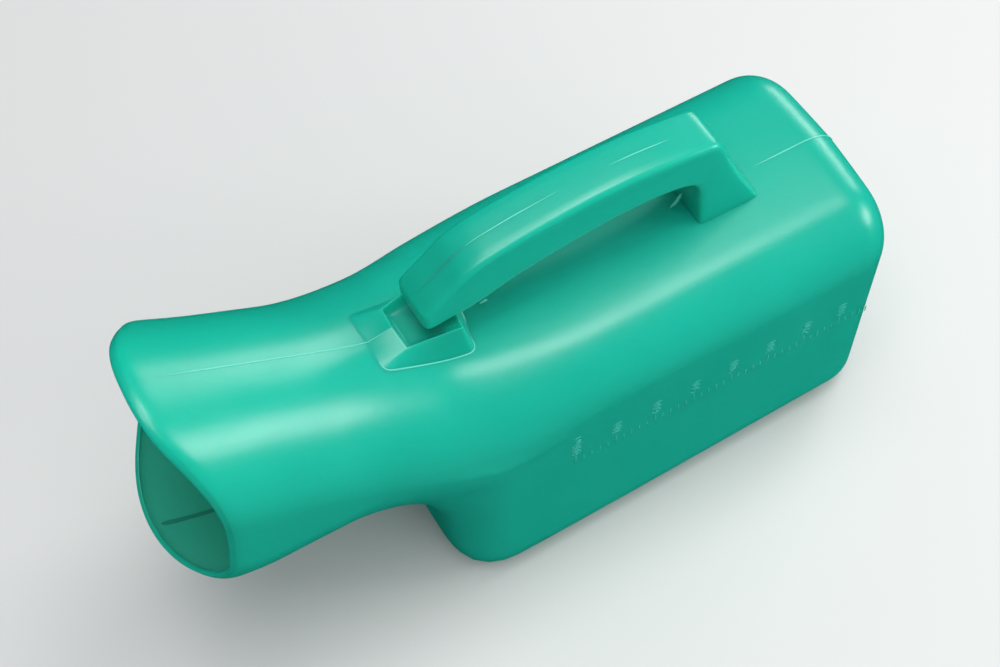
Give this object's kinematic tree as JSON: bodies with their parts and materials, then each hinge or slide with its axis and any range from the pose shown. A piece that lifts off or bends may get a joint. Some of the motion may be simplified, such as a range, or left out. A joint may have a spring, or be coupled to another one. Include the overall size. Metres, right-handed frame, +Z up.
{
  "type": "urine bottle",
  "caption": "Hand-held urine bottle: hollow rounded reservoir lying on its side, wide upturned neck with a curved open rim, arched carrying handle and a raised volume scale.",
  "frame": {"origin": "on the surface the bottle lies on, under the middle of its length and width", "axes": "+X from the mouth towards the rear end, +Z up while the bottle lies on its long side with the handle on top, the scale on the -Y side"},
  "size_m": [0.2407, 0.0793, 0.1603],
  "materials": {
    "bottle_plastic": "satin translucent polyethylene, faint orange peel",
    "scale_relief": "satin, the same plastic as the wall",
    "parting_line": "satin, the same plastic as the wall"
  },
  "bodies": {
    "root": {"base_panel": "bottle_plastic", "rear_end_wall": "bottle_plastic", "graduated_side_wall": "bottle_plastic", "plain_side_wall": "bottle_plastic", "roof_panel": "bottle_plastic", "front_wall": "bottle_plastic", "shoulder_shell": "bottle_plastic", "neck_shell": "bottle_plastic", "mouth_lip": "bottle_plastic", "handle_saddle": "bottle_plastic", "handle_tip": "bottle_plastic", "handle_grip": "bottle_plastic", "handle_post": "bottle_plastic", "neck_seam": "parting_line", "grip_seam": "parting_line", "roof_seam": "parting_line", "rear_seam": "parting_line", "scale_major_marks": "scale_relief", "scale_minor_marks": "scale_relief", "scale_numbers": "scale_relief", "front_flash": "parting_line", "rear_flash": "parting_line"}
  },
  "joints": []
}
